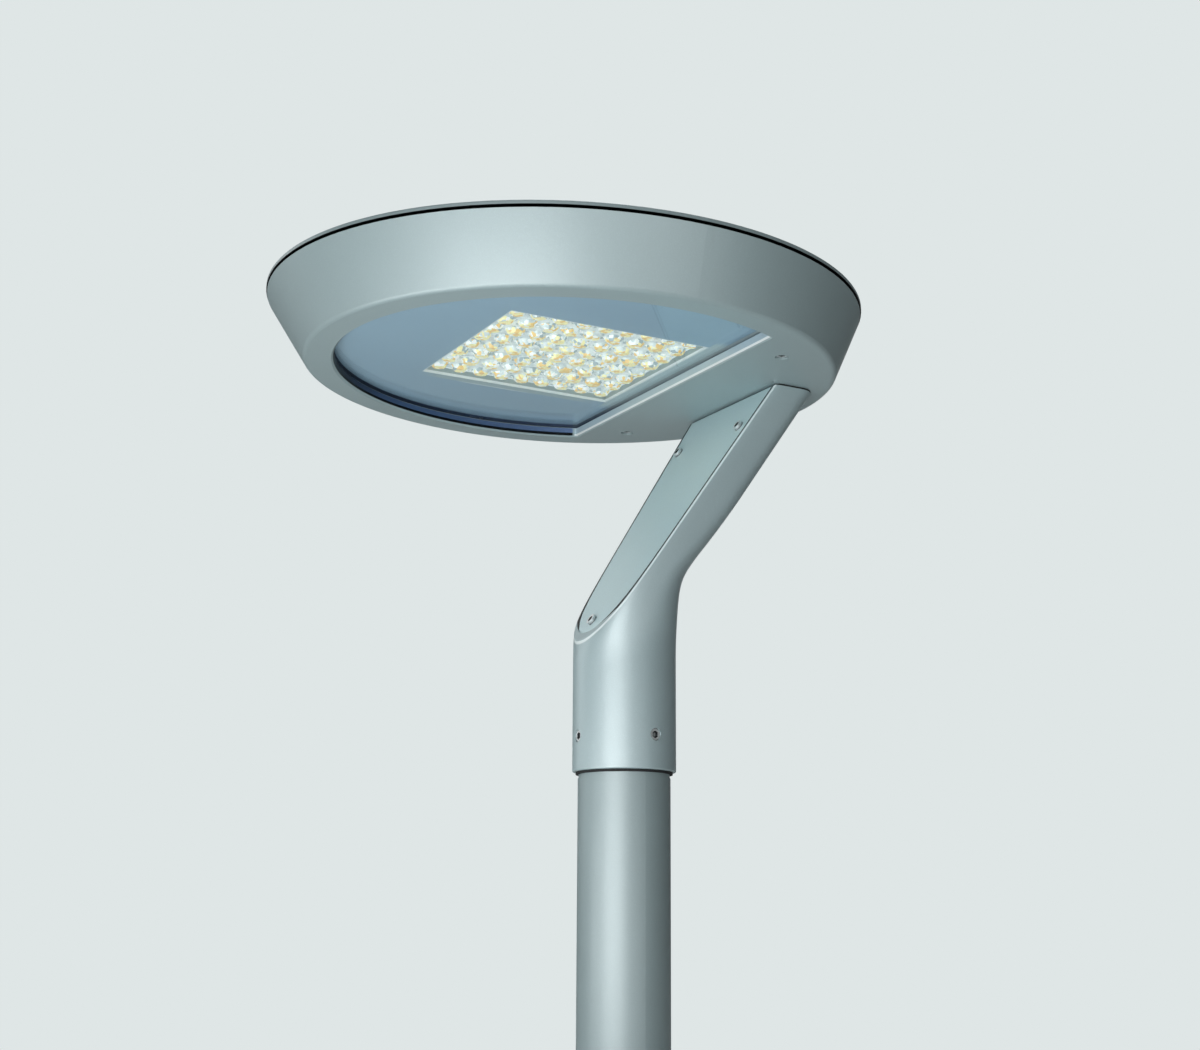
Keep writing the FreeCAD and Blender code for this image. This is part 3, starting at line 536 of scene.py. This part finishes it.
lens_paint_with_glow = finish("lens_plate", lens_paint, Emission_Strength=0.36, IOR=1.5)
dress(lens_paint_with_glow, "lens_plate_front", "lens_plate_middle", "lens_plate_rear")


# Tray and heat sink: the tray is sheet aluminium that carries the boards and is screwed on the
# housing's pillars. The heat sink is a finned aluminium block above the boards.

dress(mill_sheet, "led_tray", "heat_sink")
dress(plain_steel, "tray_screws")


# Lid: a thin round pressing with a straight edge, coated like the housing, on a rubber seal. Two hooks
# catch under the housing's rim in front, and long screws hold it from below behind the pane.

lid_underside = (0.0524, 0.0528)
# Black for the painted shadow under the lid.
gap_painted_shadow = (0.004, 0.005, 0.006, 1.0)


def lid_coat(place):
    """The head's silver coat, black on the lid's underside, which closes the gap above the housing: painted
    shadow in that gap.
    """
    links = coat(head_silver)(place)
    y, z = place.axes()[1:]
    under = above_underside(y, z).below(*lid_underside)
    # Painted shadow: black on the lid's underside, made metallic so that it shows no gloss.
    links["Base Color"] = under.blend(links["Base Color"], gap_painted_shadow)
    links["Metallic"] = 0.15 + 0.85 * under
    return links


dress(black_rubber, "lid_gasket")
dress(finish("lid_powder_coat", lid_coat, IOR=2.2), "lid")
dress(screw_steel, "lid_screws")


# Studio: a pale floor that fades into the background, one broad soft lamp in front, weaker ones on both
# sides, low down, above and behind, and the camera at the photograph's place.

backdrop = (0.738, 0.791, 0.791, 1.0)
mirror_share = 0.15
floor_fade = (0.35, 0.75)
floor_paleness = 0.70
fill_colour = (0.80, 0.86, 0.88, 1.0)
fill_strength = 0.015


def disc_grid(radius, rings, turns):
    """A flat disc: rings at even radii from the centre, turns at even angles."""
    r, t = np.meshgrid(np.linspace(0.0, radius, rings), np.linspace(0.0, 2.0 * np.pi, turns), indexing="ij")
    return np.stack([r * np.cos(t), r * np.sin(t), np.zeros_like(r)], axis=-1)


def grid_mesh(name, points, material):
    """An object on a grid of points, one quad between each four neighbours."""
    rows, columns = points.shape[:2]
    index = np.arange(rows * columns).reshape(rows, columns)
    quads = np.stack([index[:-1, :-1], index[1:, :-1], index[1:, 1:], index[:-1, 1:]], axis=-1).reshape(-1, 4)
    mesh = bpy.data.meshes.new(name)
    mesh.from_pydata(points.reshape(-1, 3), [], quads)
    mesh.materials.append(material)
    mesh.polygons.foreach_set("use_smooth", np.ones(len(quads), bool))
    piece = bpy.data.objects.new(name, mesh)
    bpy.context.scene.collection.objects.link(piece)
    return piece


def background_share(start):
    """How far a ray meets the plain background: fully from the camera and through glass, and by the mirror
    share where a surface reflects it."""
    camera_ray, glossy, through = [start.node("ShaderNodeLightPath", output="Is %s Ray" % kind)
                                   for kind in ("Camera", "Glossy", "Transmission")]
    return camera_ray.most(through).most(mirror_share * glossy)


def floor_finish():
    """A pale matt floor near the pole that turns into the plain background further out."""
    material = bpy.data.materials.new("studio_floor")
    material.use_nodes = True
    tree = material.node_tree
    tree.nodes.remove(tree.nodes["Principled BSDF"])
    start = Wire(tree)
    place = start.node("ShaderNodeTexCoord", output="Object")
    reach = place.node("ShaderNodeVectorMath", {"operation": "LENGTH"}, {0: place}, "Value")
    paleness = floor_paleness + (1.0 - floor_paleness) * reach.step(*floor_fade)
    matt = start.node("ShaderNodeBsdfDiffuse", {}, {"Color": backdrop})
    plain = start.node("ShaderNodeEmission", {}, {"Color": backdrop})
    mixed = start.node("ShaderNodeMixShader", {}, {0: paleness * background_share(start), 1: matt, 2: plain})
    tree.links.new(mixed.socket, tree.nodes["Material Output"].inputs["Surface"])
    return material


floor = grid_mesh("studio_floor", disc_grid(radius=6.0, rings=24, turns=97), floor_finish())

world = bpy.data.worlds.new("studio")
bpy.context.scene.world = world
world.use_nodes = True
air = Wire(world.node_tree)
fill = air.node("ShaderNodeBackground", {}, {"Color": fill_colour, "Strength": fill_strength})
plain = air.node("ShaderNodeBackground", {}, {"Color": backdrop, "Strength": 1.0})
sky = air.node("ShaderNodeMixShader", {}, {0: background_share(air), 1: fill, 2: plain})
world.node_tree.links.new(sky.socket, world.node_tree.nodes["World Output"].inputs["Surface"])

lamp_aim = Vector((0.0, -0.03, 0.5))


def lamp(name, azimuth, elevation, distance, width, height, power):
    """A soft lamp on a sphere about the head, turned to it. Azimuth 0 is in front of the head, and the
    elevation is counted up from level."""
    data = bpy.data.lights.new(name, "AREA")
    data.shape = "RECTANGLE"
    data.size = width
    data.size_y = height
    data.energy = power
    turn = math.radians(azimuth)
    lift = math.radians(elevation)
    outward = Vector((math.sin(turn) * math.cos(lift), -math.cos(turn) * math.cos(lift), math.sin(lift)))
    made = bpy.data.objects.new(name, data)
    made.location = lamp_aim + distance * outward
    made.rotation_euler = outward.to_track_quat("Z", "Y").to_euler()
    made.visible_camera = False
    bpy.context.scene.collection.objects.link(made)


lamp("front_lamp", azimuth=45.0, elevation=0.0, distance=2.6, width=2.4, height=1.0, power=17.8)
lamp("side_lamp", azimuth=-75.0, elevation=35.0, distance=2.6, width=1.2, height=1.2, power=4.2)
lamp("left_lamp", azimuth=-50.0, elevation=12.0, distance=2.6, width=1.2, height=1.2, power=5.3)
lamp("right_lamp", azimuth=88.0, elevation=-18.0, distance=1.3, width=1.2, height=0.25, power=2.3)
lamp("low_front_lamp", azimuth=0.0, elevation=-30.0, distance=0.7, width=0.5, height=0.3, power=1.0)
lamp("low_lamp", azimuth=40.0, elevation=-30.0, distance=0.7, width=0.5, height=0.3, power=1.8)
lamp("top_lamp", azimuth=0.0, elevation=90.0, distance=1.1, width=0.8, height=0.8, power=5.0)
lamp("back_lamp", azimuth=240.0, elevation=12.0, distance=2.6, width=1.6, height=1.2, power=7.0)

photo_width = 1200.0
focal_pixels = 2006.19
camera_distance = 1.65026
camera_height = 0.12114
camera_azimuth = 1.1008
yaw = -0.0126
pitch = 0.2067
roll = -0.0050
turn = Matrix.Rotation(camera_azimuth, 3, "Z")
look = turn @ Vector((math.sin(yaw) * math.cos(pitch), math.cos(yaw) * math.cos(pitch), math.sin(pitch)))
level_right = turn @ Vector((math.cos(yaw), -math.sin(yaw), 0.0))
level_down = look.cross(level_right)
right = math.cos(roll) * level_right + math.sin(roll) * level_down
down = math.cos(roll) * level_down - math.sin(roll) * level_right
camera = bpy.data.objects.new("camera", bpy.data.cameras.new("camera"))
camera.data.sensor_width = 36.0
camera.data.lens = focal_pixels / photo_width * camera.data.sensor_width
camera.data.clip_end = 50.0
pose = Matrix((right, -down, -look)).transposed().to_4x4()
pose.translation = turn @ Vector((0.0, -camera_distance, camera_height))
camera.matrix_world = pose
bpy.context.scene.collection.objects.link(camera)
bpy.context.scene.camera = camera
bpy.context.scene.view_settings.view_transform = "Standard"
